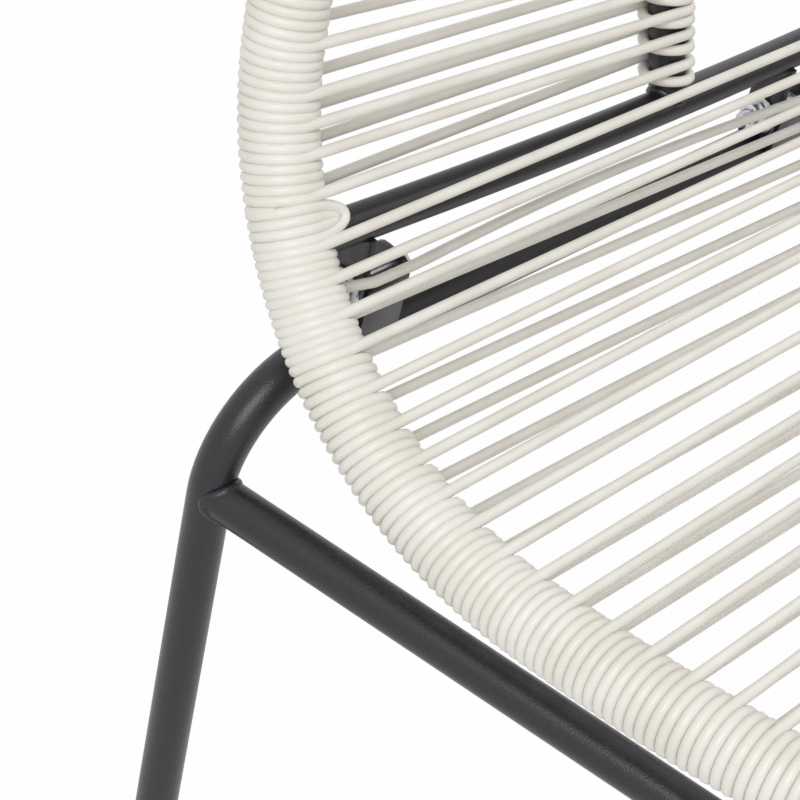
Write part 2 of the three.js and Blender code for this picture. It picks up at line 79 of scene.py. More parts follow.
class Side(Enum):
    """A side of the chair, as the sign of X."""

    LEFT = 1
    RIGHT = -1

    @property
    def word(self) -> str:
        """The side's name in the CAD nodes."""
        return self.name.lower()


class End(Enum):
    """An end of the base."""

    REAR = "rear"
    FRONT = "front"


class Slot(Enum):
    """The material slots of the chair's pieces."""

    STEEL = "painted_steel"
    ZINC = "zinc_steel"
    CORD = "cord_vinyl"
    PLASTIC = "foot_plastic"


def unit(vectors: np.ndarray) -> np.ndarray:
    """Scale each row to length one."""
    return vectors / np.linalg.norm(vectors, axis=-1, keepdims=True)


def linear(hex_colour: str) -> tuple[float, float, float, float]:
    """Turn an sRGB hex colour to linear RGBA.

    Args:
        hex_colour: Six hex digits after a hash sign.

    Returns:
        Linear red, green, blue and an alpha of one.
    """
    channels = [int(hex_colour[i : i + 2], 16) / 255 for i in (1, 3, 5)]
    toe, gamma = 0.04045, 2.4
    values = [c / 12.92 if c <= toe else ((c + 0.055) / 1.055) ** gamma for c in channels]
    return (*values, 1.0)


@dataclass
class BasketLines:
    """Lines that the basket's tubes follow, in metres, as the CAD has them."""

    seat_half_width: float = 0.328
    front_run: float = 0.430
    back_run: float = 0.660
    crease_height: float = 0.370
    crease_radius: float = 0.187
    crease_ahead: float = 0.056
    cross_station: float = 0.1315
    seat_rise: float = math.radians(8)
    back_rise: float = math.radians(76)
    front_round: float = 2.6
    back_round: float = 1.8
    depth_shift: float = 0.195947
    ring_radius: float = 0.0125
    samples: int = 6001
    half_length: float = field(init=False)
    cross_place: float = field(init=False)

    def __post_init__(self) -> None:
        """Work out the table from ring place to point."""
        t = np.linspace(0, 1, self.samples)
        angle = (2 * t - 1) * math.pi / 2
        front = t < 0.5
        sine, cosine = np.abs(np.sin(angle)), np.clip(np.cos(angle), 0, None)
        stations = np.where(
            front,
            -self.front_run * sine ** (2 / self.front_round),
            self.back_run * sine ** (2 / self.back_round),
        )
        widths = self.seat_half_width * np.where(front, cosine ** (2 / self.front_round), cosine)
        y, z, slopes = self.profile(stations)
        self.table = np.stack([widths, y, z], axis=1)
        steps = np.linalg.norm(np.diff(self.table, axis=0), axis=1)
        self.places = np.concatenate([[0], np.cumsum(steps)])
        self.stations, self.slopes = stations, slopes
        self.half_length = float(self.places[-1])
        self.cross_place = float(np.interp(self.cross_station, stations, self.places))

    def raw_profile(self, station: np.ndarray) -> tuple[np.ndarray, np.ndarray, np.ndarray]:
        """Give the seat's profile with the seat's bend starting at the origin.

        Args:
            station: Lengths along the profile, from the crease to the back.

        Returns:
            Depth, height and slope at each station.
        """
        along = np.asarray(station, float) + self.crease_ahead
        bend = (self.seat_rise + self.back_rise) * self.crease_radius
        slope = np.clip(along, 0, bend) / self.crease_radius - self.seat_rise
        before, beyond = np.minimum(along, 0), np.maximum(along - bend, 0)
        y = self.crease_radius * (np.sin(slope) + math.sin(self.seat_rise))
        z = self.crease_radius * (math.cos(self.seat_rise) - np.cos(slope))
        y = y + beyond * np.cos(slope) + before * math.cos(self.seat_rise)
        z = z + beyond * np.sin(slope) - before * math.sin(self.seat_rise)
        return y, z, slope

    def profile(self, station: np.ndarray) -> tuple[np.ndarray, np.ndarray, np.ndarray]:
        """Give the profile at its place in the chair.

        Args:
            station: Lengths along the profile, from the crease to the back.

        Returns:
            Depth, height and slope at each station.
        """
        y, z, slope = self.raw_profile(station)
        y0, z0, _ = self.raw_profile(np.array(self.cross_station))
        return y - y0 + self.depth_shift, z - z0 + self.crease_height, slope

    def folded(self, place: np.ndarray) -> np.ndarray:
        """Give ring places counted from the front along one side."""
        return np.where(place > self.half_length, 2 * self.half_length - place, np.abs(place))

    def ring_points(self, place: np.ndarray, side: Side) -> np.ndarray:
        """Give points of the ring's centre line.

        Args:
            place: Lengths along the ring from the front, on the given side.
            side: The side on which a positive place lies.

        Returns:
            One row for each place.
        """
        place = np.asarray(place, float)
        other = (place < 0) | (place > self.half_length)
        folded = self.folded(place)
        columns = [np.interp(folded, self.places, self.table[:, i]) for i in range(3)]
        columns[0] = columns[0] * side.value * np.where(other, -1, 1)
        return np.stack(columns, axis=-1)

    def ring_frame(self, place: np.ndarray, side: Side) -> tuple[np.ndarray, ...]:
        """Give the ring's centre and its directions.

        Args:
            place: Lengths along the ring from the front, on the given side.
            side: The side on which a positive place lies.

        Returns:
            Centre, ahead, upper and inward vectors, one row for each place.
        """
        place = np.asarray(place, float)
        step = 0.6 * MM
        centre = self.ring_points(place, side)
        ahead = unit(self.ring_points(place + step, side) - self.ring_points(place - step, side))
        folded = self.folded(place)
        slope = np.interp(folded, self.places, self.slopes)
        upper = np.stack([np.zeros_like(slope), -np.sin(slope), np.cos(slope)], axis=-1)
        inward = side.value * np.cross(upper, ahead)
        return centre, ahead, upper, inward

    def station_at(self, place: float) -> float:
        """Give the station of a ring place."""
        return float(np.interp(place, self.places, self.stations))


@dataclass
class HoopLines:
    """Cross tube and inner hoop, in metres."""

    basket: BasketLines
    sag: float = 0.0096
    forward: float = 0.0048
    half_width: float = 0.087
    straight: float = 0.290
    recline: float = math.radians(20)
    radius: float = 0.0085

    def __post_init__(self) -> None:
        """Find where the cross tube and the hoop start."""
        end = self.basket.ring_points(np.array(self.basket.cross_place), Side.LEFT)
        self.cross_half = float(end[0])
        self.half_length = self.straight + self.half_width * math.pi / 2
        self.foot = self.cross_points(np.array([self.half_width]))[0]

    def cross_points(self, x: np.ndarray) -> np.ndarray:
        """Give points of the cross tube's centre line.

        Args:
            x: Distances from the middle, positive to the left.

        Returns:
            One row for each distance.
        """
        x = np.asarray(x, float)
        bow = 1 - (x / self.cross_half) ** 2
        y = self.basket.depth_shift - self.forward * bow
        z = self.basket.crease_height - self.sag * bow
        return np.stack([x, y, z], axis=-1)

    def hoop_frame(self, height: np.ndarray, side: Side) -> tuple[np.ndarray, ...]:
        """Give the hoop's centre, rising, front and outward directions.

        Args:
            height: Lengths up the hoop from its foot.
            side: The side of the bar.

        Returns:
            Centre, rising, front and outward vectors, one row for each height.
        """
        from_top = self.half_length - np.asarray(height, float)
        turned = np.clip(from_top / self.half_width, None, math.pi / 2)
        down = np.clip(from_top - self.half_width * math.pi / 2, 0, None)
        lift = self.straight + self.half_width * np.cos(turned) - down
        up = np.array([0, math.sin(self.recline), math.cos(self.recline)])
        across = np.array([side.value, 0, 0])
        front = np.array([0, -math.cos(self.recline), math.sin(self.recline)])
        base = np.array([0, self.foot[1], self.foot[2]])
        centre = base + lift[..., None] * up
        centre = centre + (self.half_width * np.sin(turned))[..., None] * across
        rising = np.sin(turned)[..., None] * up - np.cos(turned)[..., None] * across
        outward = np.sin(turned)[..., None] * across + np.cos(turned)[..., None] * up
        return centre, rising, np.broadcast_to(front, centre.shape), outward


def emptied(owner: bpy.types.Material | bpy.types.World) -> bpy.types.NodeTree:
    """Give the node tree of a material or a world, with nothing in it.

    Args:
        owner: The material or world.

    Returns:
        Its node tree.
    """
    owner.use_nodes = True
    owner.node_tree.nodes.clear()
    return owner.node_tree


def add_node(
    tree: bpy.types.NodeTree,
    kind: str,
    settings: dict[str | int, object] | None = None,
    links: dict[str | int, bpy.types.NodeSocket] | None = None,
) -> bpy.types.Node:
    """Add a node with its settings and links.

    Args:
        tree: The node tree.
        kind: The node's type, after the word ShaderNode.
        settings: Values of inputs, by name or number, and of attributes, by name.
        links: Output sockets, by the name or number of the input that each feeds.

    Returns:
        The new node.
    """
    node = tree.nodes.new(f"ShaderNode{kind}")
    for name, value in (settings or {}).items():
        if isinstance(name, int) or name in node.inputs:
            node.inputs[name].default_value = value
        else:
            setattr(node, name, value)
    for name, source in (links or {}).items():
        tree.links.new(source, node.inputs[name])
    return node


@dataclass(frozen=True)
class Coating:
    """A finish of two tones, an uneven gloss and a fine relief.

    A grain is a noise's size in millimetres and its detail.
    """

    name: str
    shade: str
    light: str
    tone_span: Pair
    tone_grain: Pair
    roughness: Pair
    gloss_grain: Pair
    relief_mm: float
    relief_strength: float
    relief_grain: Pair
    metallic: float = 0.0
    ior: float = 1.5

    def make(self) -> bpy.types.Material:
        """Make the material.

        Returns:
            The material.
        """
        material = bpy.data.materials.new(self.name)
        tree = emptied(material)
        place = {"Vector": add_node(tree, "TexCoord").outputs["Object"]}
        tone, gloss, height = (
            add_node(tree, "TexNoise", {"Scale": 1 / (size_mm * MM), "Detail": detail}, place)
            for size_mm, detail in (self.tone_grain, self.gloss_grain, self.relief_grain)
        )
        ramp = add_node(tree, "ValToRGB", links={"Fac": tone.outputs["Fac"]})
        first, last = ramp.color_ramp.elements
        first.position, last.position = self.tone_span
        first.color, last.color = linear(self.shade), linear(self.light)
        spread = dict(zip(("To Min", "To Max"), self.roughness))
        rough = add_node(tree, "MapRange", spread, {"Value": gloss.outputs["Fac"]})
        depth = {"Strength": self.relief_strength, "Distance": self.relief_mm * MM}
        bump = add_node(tree, "Bump", depth, {"Height": height.outputs["Fac"]})
        shader = add_node(
            tree,
            "BsdfPrincipled",
            {"IOR": self.ior, "Metallic": self.metallic},
            {
                "Base Color": ramp.outputs["Color"],
                "Roughness": rough.outputs["Result"],
                "Normal": bump.outputs["Normal"],
            },
        )
        add_node(tree, "OutputMaterial", links={"Surface": shader.outputs["BSDF"]})
        return material


@dataclass(frozen=True)
class VinylCord(Coating):
    """Extruded PVC cord: smooth, a soft sheen, slightly uneven in tone from handling."""

    name: str = "pvc_cord_extruded"
    shade: str = "#e1ddd3"
    light: str = "#e9e6df"
    tone_span: Pair = (0.36, 0.62)
    tone_grain: Pair = (28, 3)
    roughness: Pair = (0.32, 0.44)
    gloss_grain: Pair = (1.6, 2)
    relief_mm: float = 0.12
    relief_strength: float = 0.25
    relief_grain: Pair = (1.6, 2)


@dataclass(frozen=True)
class PowderCoat(Coating):
    """Polyester powder coat on steel: charcoal, with a fine baked-in orange peel."""

    name: str = "powder_coat_charcoal"
    shade: str = "#19181c"
    light: str = "#242329"
    tone_span: Pair = (0.3, 0.6)
    tone_grain: Pair = (0.9, 3)
    roughness: Pair = (0.27, 0.38)
    gloss_grain: Pair = (35, 2)
    relief_mm: float = 0.16
    relief_strength: float = 0.9
    relief_grain: Pair = (0.9, 3)


@dataclass(frozen=True)
class ZincPlate(Coating):
    """Bright zinc on rolled steel: greyish, with cloudy passivation."""

    name: str = "zinc_plated_steel"
    shade: str = "#b9bcbf"
    light: str = "#dcdee0"
    tone_span: Pair = (0.35, 0.65)
    tone_grain: Pair = (4, 4)
    roughness: Pair = (0.22, 0.4)
    gloss_grain: Pair = (4, 4)
    relief_mm: float = 0.03
    relief_strength: float = 0.3
    relief_grain: Pair = (0.7, 2)
    metallic: float = 1.0


@dataclass(frozen=True)
class MouldedPlastic(Coating):
    """Moulded polyethylene: matt black with a spark-eroded grain and pale scuffs.

    The grain is drawn a few times as coarse as it is, so that it shows.
    """

    name: str = "polyethylene_moulded_black"
    shade: str = "#1f1f21"
    light: str = "#2c2c2e"
    tone_span: Pair = (0.5, 0.72)
    tone_grain: Pair = (12, 4)
    roughness: Pair = (0.55, 0.75)
    gloss_grain: Pair = (0.6, 2)
    relief_mm: float = 0.05
    relief_strength: float = 0.5
    relief_grain: Pair = (0.6, 2)


class Finishes:
    """All finishes of the chair, one for each slot."""

    def __init__(self) -> None:
        """Make the materials."""
        self.by_slot = {
            Slot.STEEL: PowderCoat().make(),
            Slot.ZINC: ZincPlate().make(),
            Slot.CORD: VinylCord().make(),
            Slot.PLASTIC: MouldedPlastic().make(),
        }

    def dress(self, piece: bpy.types.Object, slot: Slot, replaced: tuple[str, ...] = ()) -> None:
        """Give a piece the finish of its slot and its body, and hide the CAD nodes that it stands
        for.

        Args:
            piece: The piece, finished and at the origin.
            slot: Its material slot.
            replaced: CAD nodes that it replaces.
        """
        piece.data.materials.clear()
        piece.data.materials.append(self.by_slot[slot])
        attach(piece, BODY)
        if replaced:
            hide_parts(*replaced)
        LOG.info("%s: %d faces", piece.name, len(piece.data.polygons))


def deselect() -> None:
    """Leave nothing selected."""
    bpy.ops.object.select_all(action="DESELECT")


def activate(piece: bpy.types.Object) -> None:
    """Select one object alone and make it active.

    Args:
        piece: The object.
    """
    deselect()
    piece.select_set(True)
    bpy.context.view_layer.objects.active = piece


def smooth_by_angle(piece: bpy.types.Object, degrees: float = 40) -> None:
    """Shade smooth up to an angle between faces."""
    activate(piece)
    bpy.ops.object.shade_smooth_by_angle(angle=math.radians(degrees))


class TubeMesh:
    """Collects swept round bars in one mesh."""

    def __init__(self) -> None:
        """Start with no bars."""
        self.points: list[np.ndarray] = []
        self.quads: list[np.ndarray] = []
        self.caps: list[list[int]] = []
        self.count = 0

    @staticmethod
    def normals(tangents: np.ndarray, closed: bool) -> np.ndarray:
        """Carry a normal along a path without needless twist.

        Args:
            tangents: The path's direction at each point.
            closed: Whether the path joins up with its start.

        Returns:
            A normal at each point.
        """
        out = np.empty_like(tangents)
        seed = np.eye(3)[np.argmin(np.abs(tangents[0]))]
        out[0] = unit(np.cross(tangents[0], seed))
        for i in range(1, len(tangents)):
            carried = out[i - 1] - tangents[i] * (out[i - 1] @ tangents[i])
            out[i] = carried / math.sqrt(carried @ carried)
        if closed:
            across = np.cross(tangents, out)
            last = out[-1] - tangents[0] * (out[-1] @ tangents[0])
            twist = math.atan2(last @ across[0], last @ out[0])
            turn = -twist * np.arange(len(out)) / len(out)
            out = np.cos(turn)[:, None] * out + np.sin(turn)[:, None] * across
        return out

    def sweep(self, path: np.ndarray, radius: float, sides: int, closed: bool = False) -> None:
        """Add a bar along a path.

        Args:
            path: Points of its centre line.
            radius: Its radius.
            sides: Sides of its section.
            closed: Whether the path joins up with its start.
        """
        count = len(path)
        ahead = unit(np.roll(path, -1, axis=0) - path + 1e-12)
        behind = np.roll(ahead, 1, axis=0)
        if not closed:
            ahead[-1], behind[0] = behind[-1], ahead[0]
        tangents = unit(ahead + behind)
        normals = self.normals(tangents, closed)
        across = np.cross(tangents, normals)
        angle = 2 * math.pi * np.arange(sides) / sides
        rings = path[:, None] + radius * (
            np.cos(angle)[None, :, None] * normals[:, None]
            + np.sin(angle)[None, :, None] * across[:, None]
        )
        rows = np.arange(count if closed else count - 1)
        i, j = np.meshgrid(rows, np.arange(sides), indexing="ij")
        i2, j2 = (i + 1) % count, (j + 1) % sides
        quads = np.stack([i * sides + j, i * sides + j2, i2 * sides + j2, i2 * sides + j], axis=-1)
        self.quads.append(quads.reshape(-1, 4) + self.count)
        if not closed:
            first = self.count + np.arange(sides)
            self.caps.append(first[::-1].tolist())
            self.caps.append((first + (count - 1) * sides).tolist())
        self.points.append(rings.reshape(-1, 3))
        self.count += count * sides

    def build(self, name: str) -> bpy.types.Object:
        """Make the mesh object, shaded smooth.

        Args:
            name: Its name.

        Returns:
            The object, at the origin.
        """
        mesh = bpy.data.meshes.new(name)
        faces = [quad for block in self.quads for quad in block.tolist()] + self.caps
        mesh.from_pydata(np.concatenate(self.points).tolist(), [], faces)
        mesh.update()
        piece = bpy.data.objects.new(name, mesh)
        bpy.context.scene.collection.objects.link(piece)
        smooth_by_angle(piece, degrees=60)
        return piece


def swept_piece(
    name: str, path: np.ndarray, radius: float, sides: int = 40, closed: bool = False
) -> bpy.types.Object:
    """Make one bar along a path as a piece.

    Args:
        name: The piece's name.
        path: Points of its centre line.
        radius: Its radius.
        sides: Sides of its section.
        closed: Whether the path joins up with its start.

    Returns:
        The piece.
    """
    tube = TubeMesh()
    tube.sweep(path, radius, sides, closed)
    return tube.build(name)


class BentTube:
    """A round tube modelled as a bender makes it: pushed straight, then round a die."""

    def __init__(
        self, name: str, start: np.ndarray, ahead: np.ndarray, radius: float, sides: int = 40
    ) -> None:
        """Start with a disc that faces along the tube.

        Args:
            name: The piece's name.
            start: Middle of the first end, in metres.
            ahead: Direction in which the tube leaves it.
            radius: The tube's radius.
            sides: Sides of its section.
        """
        self.place, self.ahead = Vector(start), Vector(ahead).normalized()
        deselect()
        bpy.ops.mesh.primitive_circle_add(
            vertices=sides, radius=radius, fill_type="NGON", location=self.place,
            rotation=self.ahead.to_track_quat("Z", "Y").to_euler(),
        )
        self.piece = bpy.context.active_object
        self.piece.name = name
        bpy.ops.object.transform_apply(location=True, rotation=True, scale=True)
        bpy.ops.object.mode_set(mode="EDIT")
        bpy.ops.mesh.select_all(action="SELECT")

    def push(self, length: float) -> None:
        """Extrude the end straight ahead.

        Args:
            length: How far.
        """
        step = self.ahead * length
        bpy.ops.mesh.extrude_region_move(TRANSFORM_OT_translate={"value": step})
        self.place += step

    def bend(self, angle: float, toward: np.ndarray, radius: float, steps: int = 18) -> None:
        """Spin the end round a die.

        Args:
            angle: How far it bends.
            toward: Direction from the tube to the middle of the bend.
            radius: The bend's radius on the centre line.
            steps: Segments of the bend.
        """
        inward = Vector(toward).normalized()
        middle = self.place + inward * radius
        axis = self.ahead.cross(inward)
        bpy.ops.mesh.spin(steps=steps, angle=-angle, center=middle, axis=axis)
        turn = Matrix.Rotation(angle, 3, axis)
        self.place = middle + turn @ (self.place - middle)
        self.ahead = turn @ self.ahead

    def finish(self) -> bpy.types.Object:
        """Clean the inside, face all outwards and leave edit mode.

        Returns:
            The finished tube.
        """
        bpy.ops.mesh.select_all(action="DESELECT")
        bpy.ops.mesh.select_interior_faces()
        bpy.ops.mesh.delete(type="FACE")
        bpy.ops.mesh.select_all(action="SELECT")
        bpy.ops.mesh.remove_doubles(threshold=MERGE)
        bpy.ops.mesh.normals_make_consistent(inside=False)
        bpy.ops.object.mode_set(mode="OBJECT")
        smooth_by_angle(self.piece)
        return self.piece


@dataclass(frozen=True)
class WeldBead:
    """The bead round a bar that is welded to the side of one as thick.

    Its shares are of the bars' radius.
    """

    bead_share: float = 0.3
    sunk_share: float = 0.84
    saddle_floor: float = 0.11
    ripple: float = 0.015
    ripples: int = 13
    points: int = 56
    sides: int = 14

    def build(
        self, name: str, joint: np.ndarray, branch: np.ndarray, carrier: np.ndarray, radius: float
    ) -> bpy.types.Object:
        """Make the bead.

        Args:
            name: The piece's name.
            joint: Where the two centre lines meet.
            branch: The welded bar's direction, away from the joint.
            carrier: The other bar's direction.
            radius: The radius of both.

        Returns:
            The bead.
        """
        across = unit(np.cross(carrier, branch))
        upward = np.cross(branch, across)
        angle = 2 * math.pi * np.arange(self.points)[:, None] / self.points
        saddle = radius * np.sqrt(np.sin(angle) ** 2 + self.saddle_floor)
        ripple = 1 + self.ripple * np.sin(self.ripples * angle)
        around = np.cos(angle) * across + np.sin(angle) * upward
        path = joint + saddle * branch + self.sunk_share * radius * ripple * around
        return swept_piece(name, path, self.bead_share * radius, self.sides, True)


@dataclass
class Obstacles:
    """What a taut cord bends over: the cross tube, and the joints below it."""

    hoop: HoopLines
    boxes: list[tuple[Vector, Vector]] = field(default_factory=list)

    def read_joints(self) -> None:
        """Take the boxes of the tabs and brackets from the frame."""
        self.boxes = [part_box(name) for name in REAR_JOINT_PLATES]

    def clear(self, path: np.ndarray, room: float) -> np.ndarray:
        """Push points out of the cross tube and to the front of the boxes.

        Args:
            path: Points of a cord.
            room: The cord's radius.

        Returns:
            The moved points.
        """
        path = path.copy()
        half = self.hoop.cross_half
        axis = self.hoop.cross_points(np.clip(path[:, 0], -half, half))
        off = (path - axis)[:, 1:]
        far = np.linalg.norm(off, axis=1)
        least = self.hoop.radius + room
        hit = far < least
        # A cord that would pass through the tube lies over its upper front side.
        outward = off / np.maximum(far, 1e-9)[:, None]
        outward[far < least / 3] = (-math.sqrt(0.5), math.sqrt(0.5))
        path[hit, 1:] = axis[hit, 1:] + outward[hit] * least
        for low, high in self.boxes:
            inside = (path[:, 0] > low.x - room) & (path[:, 0] < high.x + room)
            inside &= (path[:, 2] < high.z + room) & (path[:, 2] > low.z)
            inside &= (path[:, 1] > low.y - room) & (path[:, 1] < high.y)
            path[inside, 1] = low.y - room
        return path

    def pull_taut(self, path: np.ndarray, room: float, rounds: int = 500) -> np.ndarray:
        """Pull a cord tight between its ends, over what is in its way.

        Args:
            path: Points of the cord.
            room: Its radius.
            rounds: How often its points are evened out.

        Returns:
            Points of the taut cord.
        """
        path = self.clear(path, room)
        for _ in range(rounds):
            path[1:-1] += 0.5 * (0.5 * (path[:-2] + path[2:]) - path[1:-1])
            moved = self.clear(path, room)
            path[1:-1] = moved[1:-1]
        return path


@dataclass
class Weave:
    """The cord wound round the rim and hoop, with its taut strands, in metres.

    Turns are numbered towards the back of the ring. A whole number is on top, and
    the cord then goes down the outside of the rim on the right and down its inside
    on the left, so that a strand leaves one rim as it meets the other. The soft cord
    is pressed a little flat where it is wound, so neighbouring turns touch closely.
    """

    basket: BasketLines
    hoop: HoopLines
    obstacles: Obstacles
    tab_place: float
    cord_radius: float = 0.0025
    pressed: float = 0.0004
    steps_per_turn: int = 20
    cord_sides: int = 10
    strand_points: int = 12
    taut_points: int = 110
    turn_table: tuple[float, float, int] = (-180, 10, 3801)
    seat_first: float = -0.0182
    left_turns: tuple[float, ...] = (-130, -60, -24, -8, 4)
    left_shifts: tuple[float, ...] = (0, 0.018, 0.004, -0.008, -0.010)
    crease_pitch: float = 0.0039
    seat_pitch: float = 0.00477
    seat_pitch_from: float = -8
    back_pitch: float = 0.0044
    turns_between: int = 4
    taut_strands: int = 4
    least_station_step: float = 0.0085
    front_margin: float = 0.026
    front_overlap: float = 0.45
    left_front_end: float = 0.42
    crease_end: float = 0.7
    tab_slot: float = 0.027
    back_first: float = 0.0195
    back_turns: tuple[int, ...] = (4, 3, 3, 5, 5)
    later_back_turns: tuple[int, ...] = (5, 5, 6, 4)
    back_start: float = -0.85
    back_end: float = 0.2
    top_margin: float = 0.014
    hoop_starts: tuple[float, ...] = (0.0132, 0.0286, 0.0418, 0.0520)
    hoop_top_margin: float = 0.008
    hoop_rise_share: float = 0.5
    fan_share: float = 0.95
    wrap_laps: float = 1.5
    wrap_points: int = 46
    climb_laps: float = 1.1
    dip_share: float = 1.2
    crossing_lap: float = 0.38
    crossing_width: float = 0.14
    weld_loops: tuple[Pair, ...] = ((0.0065, 0.0199), (0.0021, 0.0148))
    weld_loop_middle: float = 0.0084
    weld_loop_points: int = 17
    weld_loop_pinch: float = 0.2

    def __post_init__(self) -> None:
        """Work out the winding's own sizes."""
        self.wound = self.basket.ring_radius + self.cord_radius - self.pressed
        self.hoop_wound = self.hoop.radius + self.cord_radius - self.pressed

    def plain_place(self, turn: np.ndarray, side: Side) -> np.ndarray:
        """Give the ring place of a seat turn without the front tab's slot.

        The left rim's turns lie a little closer than the right's over the seat, as a
        cord that is wound from one side is pulled, so that the strands slant.

        Args:
            turn: Turn numbers.
            side: The side of the chair.

        Returns:
            The ring place of each turn number.
        """
        near = self.crease_pitch * np.maximum(turn, self.seat_pitch_from)
        far = self.seat_pitch * np.minimum(turn - self.seat_pitch_from, 0)
        shift = np.interp(turn, self.left_turns, self.left_shifts) if side is Side.LEFT else 0
        return self.basket.cross_place + self.seat_first + near + far + shift

    def seat_place(self, turn: np.ndarray, side: Side) -> np.ndarray:
        """Give the ring place of a seat turn, leaving a slot for the front tab.

        Args:
            turn: Turn numbers.
            side: The side of the chair.

        Returns:
            The ring place of each turn number.
        """
        turn = np.asarray(turn, float)
        before_tab = turn < self.slot_turn(side)
        return self.plain_place(turn, side) - np.where(before_tab, self.tab_slot, 0)

    def plain_turn(self, place: float, side: Side) -> float:
        """Give the turn number at a ring place, before the slot is taken off."""
        turns = np.linspace(*self.turn_table)
        return float(np.interp(place, self.plain_place(turns, side), turns))

    def slot_turn(self, side: Side) -> float:
        """Give the turn number, under the rim, at which the front tab's slot starts."""
        return math.floor(self.plain_turn(self.tab_place + self.tab_slot / 2, side)) + HALF_TURN

    def rim_points(
        self, place: np.ndarray, turn: np.ndarray, side: Side, mirrored: bool = False
    ) -> np.ndarray:
        """Give points round the rim.

        Args:
            place: Ring places.
            turn: Turn numbers, whole on top.
            side: The side of the chair.
            mirrored: Whether the cord goes down the inside of the rim.

        Returns:
            One point for each turn number.
        """
        centre, _, upper, inward = self.basket.ring_frame(place, side)
        angle = 2 * math.pi * np.asarray(turn, float) * (1 if mirrored else -1)
        away = np.cos(angle)[:, None] * upper + np.sin(angle)[:, None] * inward
        return centre + self.wound * away

    def turns(self, start: float, end: float) -> np.ndarray:
        """Give turn numbers close enough for a smooth winding."""
        count = max(2, math.ceil(abs(end - start) * self.steps_per_turn) + 1)
        return np.linspace(start, end, count)

    def seat_turns(self, start: float, end: float, side: Side) -> np.ndarray:
        """Give the winding of the seat's rim from one turn number to another."""
        turn = self.turns(start, end)
        return self.rim_points(self.seat_place(turn, side), turn, side, side is Side.LEFT)

    def seat_exits(self) -> list[int]:
        """Find the turns at which strands meet the rim.

        Returns:
            Whole turn numbers, from the front to the crease.
        """
        exits = [self.turns_between]
        turn = 0
        while True:
            places = self.seat_place(np.array([turn, exits[-1]]), Side.RIGHT)
            station, last = (self.basket.station_at(place) for place in places)
            if station < self.front_margin - self.basket.front_run:
                return exits[::-1]
            if last - station > self.least_station_step:
                exits.append(turn)
            turn -= self.turns_between

    def strand(self, start: np.ndarray, end: np.ndarray) -> np.ndarray:
        """Give the inner points of a straight strand, without its ends."""
        share = np.linspace(0, 1, self.strand_points + 2)[1:-1, None]
        return start * (1 - share) + end * share

    def taut(self, start: np.ndarray, end: np.ndarray) -> np.ndarray:
        """Give a strand that bends over the cross tube and its joints."""
        share = np.linspace(0, 1, self.taut_points)[:, None]
        return self.obstacles.pull_taut(start * (1 - share) + end * share, self.cord_radius)[1:-1]

    def seat_cord(self) -> list[np.ndarray]:
        """Give the seat's cords: the long one to and fro, the crease's and the left front's.

        Each strand meets the right rim on top and leaves it below a few turns
        later, and does the same on the left, so that top and lower strands
        slant differently.

        Returns:
            A path for each cord.
        """
        right, left = Side.RIGHT, Side.LEFT
        exits = self.seat_exits()
        front = {side: self.plain_turn(self.tab_slot, side) - self.front_overlap for side in Side}
        run = [self.seat_turns(front[right], exits[0] - HALF_TURN, right)]
        before = exits[0] - self.turns_between
        for i, here in enumerate(exits[:-1]):
            crossing = self.taut if i >= len(exits) - self.taut_strands else self.strand
            far = self.seat_turns(before + HALF_TURN, here, left)
            run += [crossing(run[-1][-1], far[0]), far]
            near = self.seat_turns(here, exits[i + 1] - HALF_TURN, right)
            run += [crossing(far[-1], near[0]), near]
            before = here
        far = self.seat_turns(before + HALF_TURN, exits[-1], left)
        near = self.seat_turns(exits[-1], exits[-1] + self.crease_end, right)
        crease = [far, self.taut(far[-1], near[0]), near]
        end = exits[0] - self.turns_between + self.left_front_end
        edge = self.seat_turns(front[left], end, left)
        return [np.concatenate(run), np.concatenate(crease), edge]

    def weld_loop(self, side: Side, spread: float, reach: float) -> np.ndarray:
        """Give a closed turn that goes round the cross tube's weld.

        Args:
            side: The side of the chair.
            spread: Half the distance between its two passes along the ring.
            reach: How far it reaches in along the cross tube.

        Returns:
            Points of the closed path.
        """
        place = np.array([self.basket.cross_place + self.weld_loop_middle])
        centre, ahead, upper, inward = (v[0] for v in self.basket.ring_frame(place, side))
        arc = np.linspace(0, math.pi, self.weld_loop_points)
        inner = arc[1:-1]
        points = []
        for sign, half, tip in ((1, -arc, inner), (-1, -arc[::-1], inner[::-1])):
            for angle in half:
                around = math.cos(angle) * upper + math.sin(angle) * inward
                points.append(centre + sign * spread * ahead + self.wound * around)
            level = -sign * self.wound * upper
            for angle in tip:
                along = spread * math.cos(angle) * ahead + reach * math.sin(angle) * inward
                pinched = 1 - self.weld_loop_pinch * math.sin(angle)
                points.append(centre + along + pinched * level)
        return np.array(points)

    def fan_exits(self) -> list[tuple[int, float, float]]:
        """Plan the strands of a fan, from the crease to the top.

        Returns:
            The turn of each on the ring, its height on the hoop and its turns' rise.
        """
        span = self.basket.half_length - self.basket.cross_place - self.back_first
        counts = chain(self.back_turns, cycle(self.later_back_turns))
        turns = [0]
        while self.back_pitch * turns[-1] < span - self.top_margin:
            turns.append(turns[-1] + next(counts))
        known = len(self.hoop_starts)
        low, from_turn = self.hoop_starts[-1], turns[known - 1]
        reach = self.hoop.half_length - low - self.hoop_top_margin
        shares = [(t - from_turn) / (turns[-1] - from_turn) for t in turns[known:]]
        heights = [*self.hoop_starts, *(low + reach * s**self.fan_share for s in shares)]
        rises = self.hoop_rise_share * np.diff(heights)
        return list(zip(turns[:-1], heights[:-1], rises))

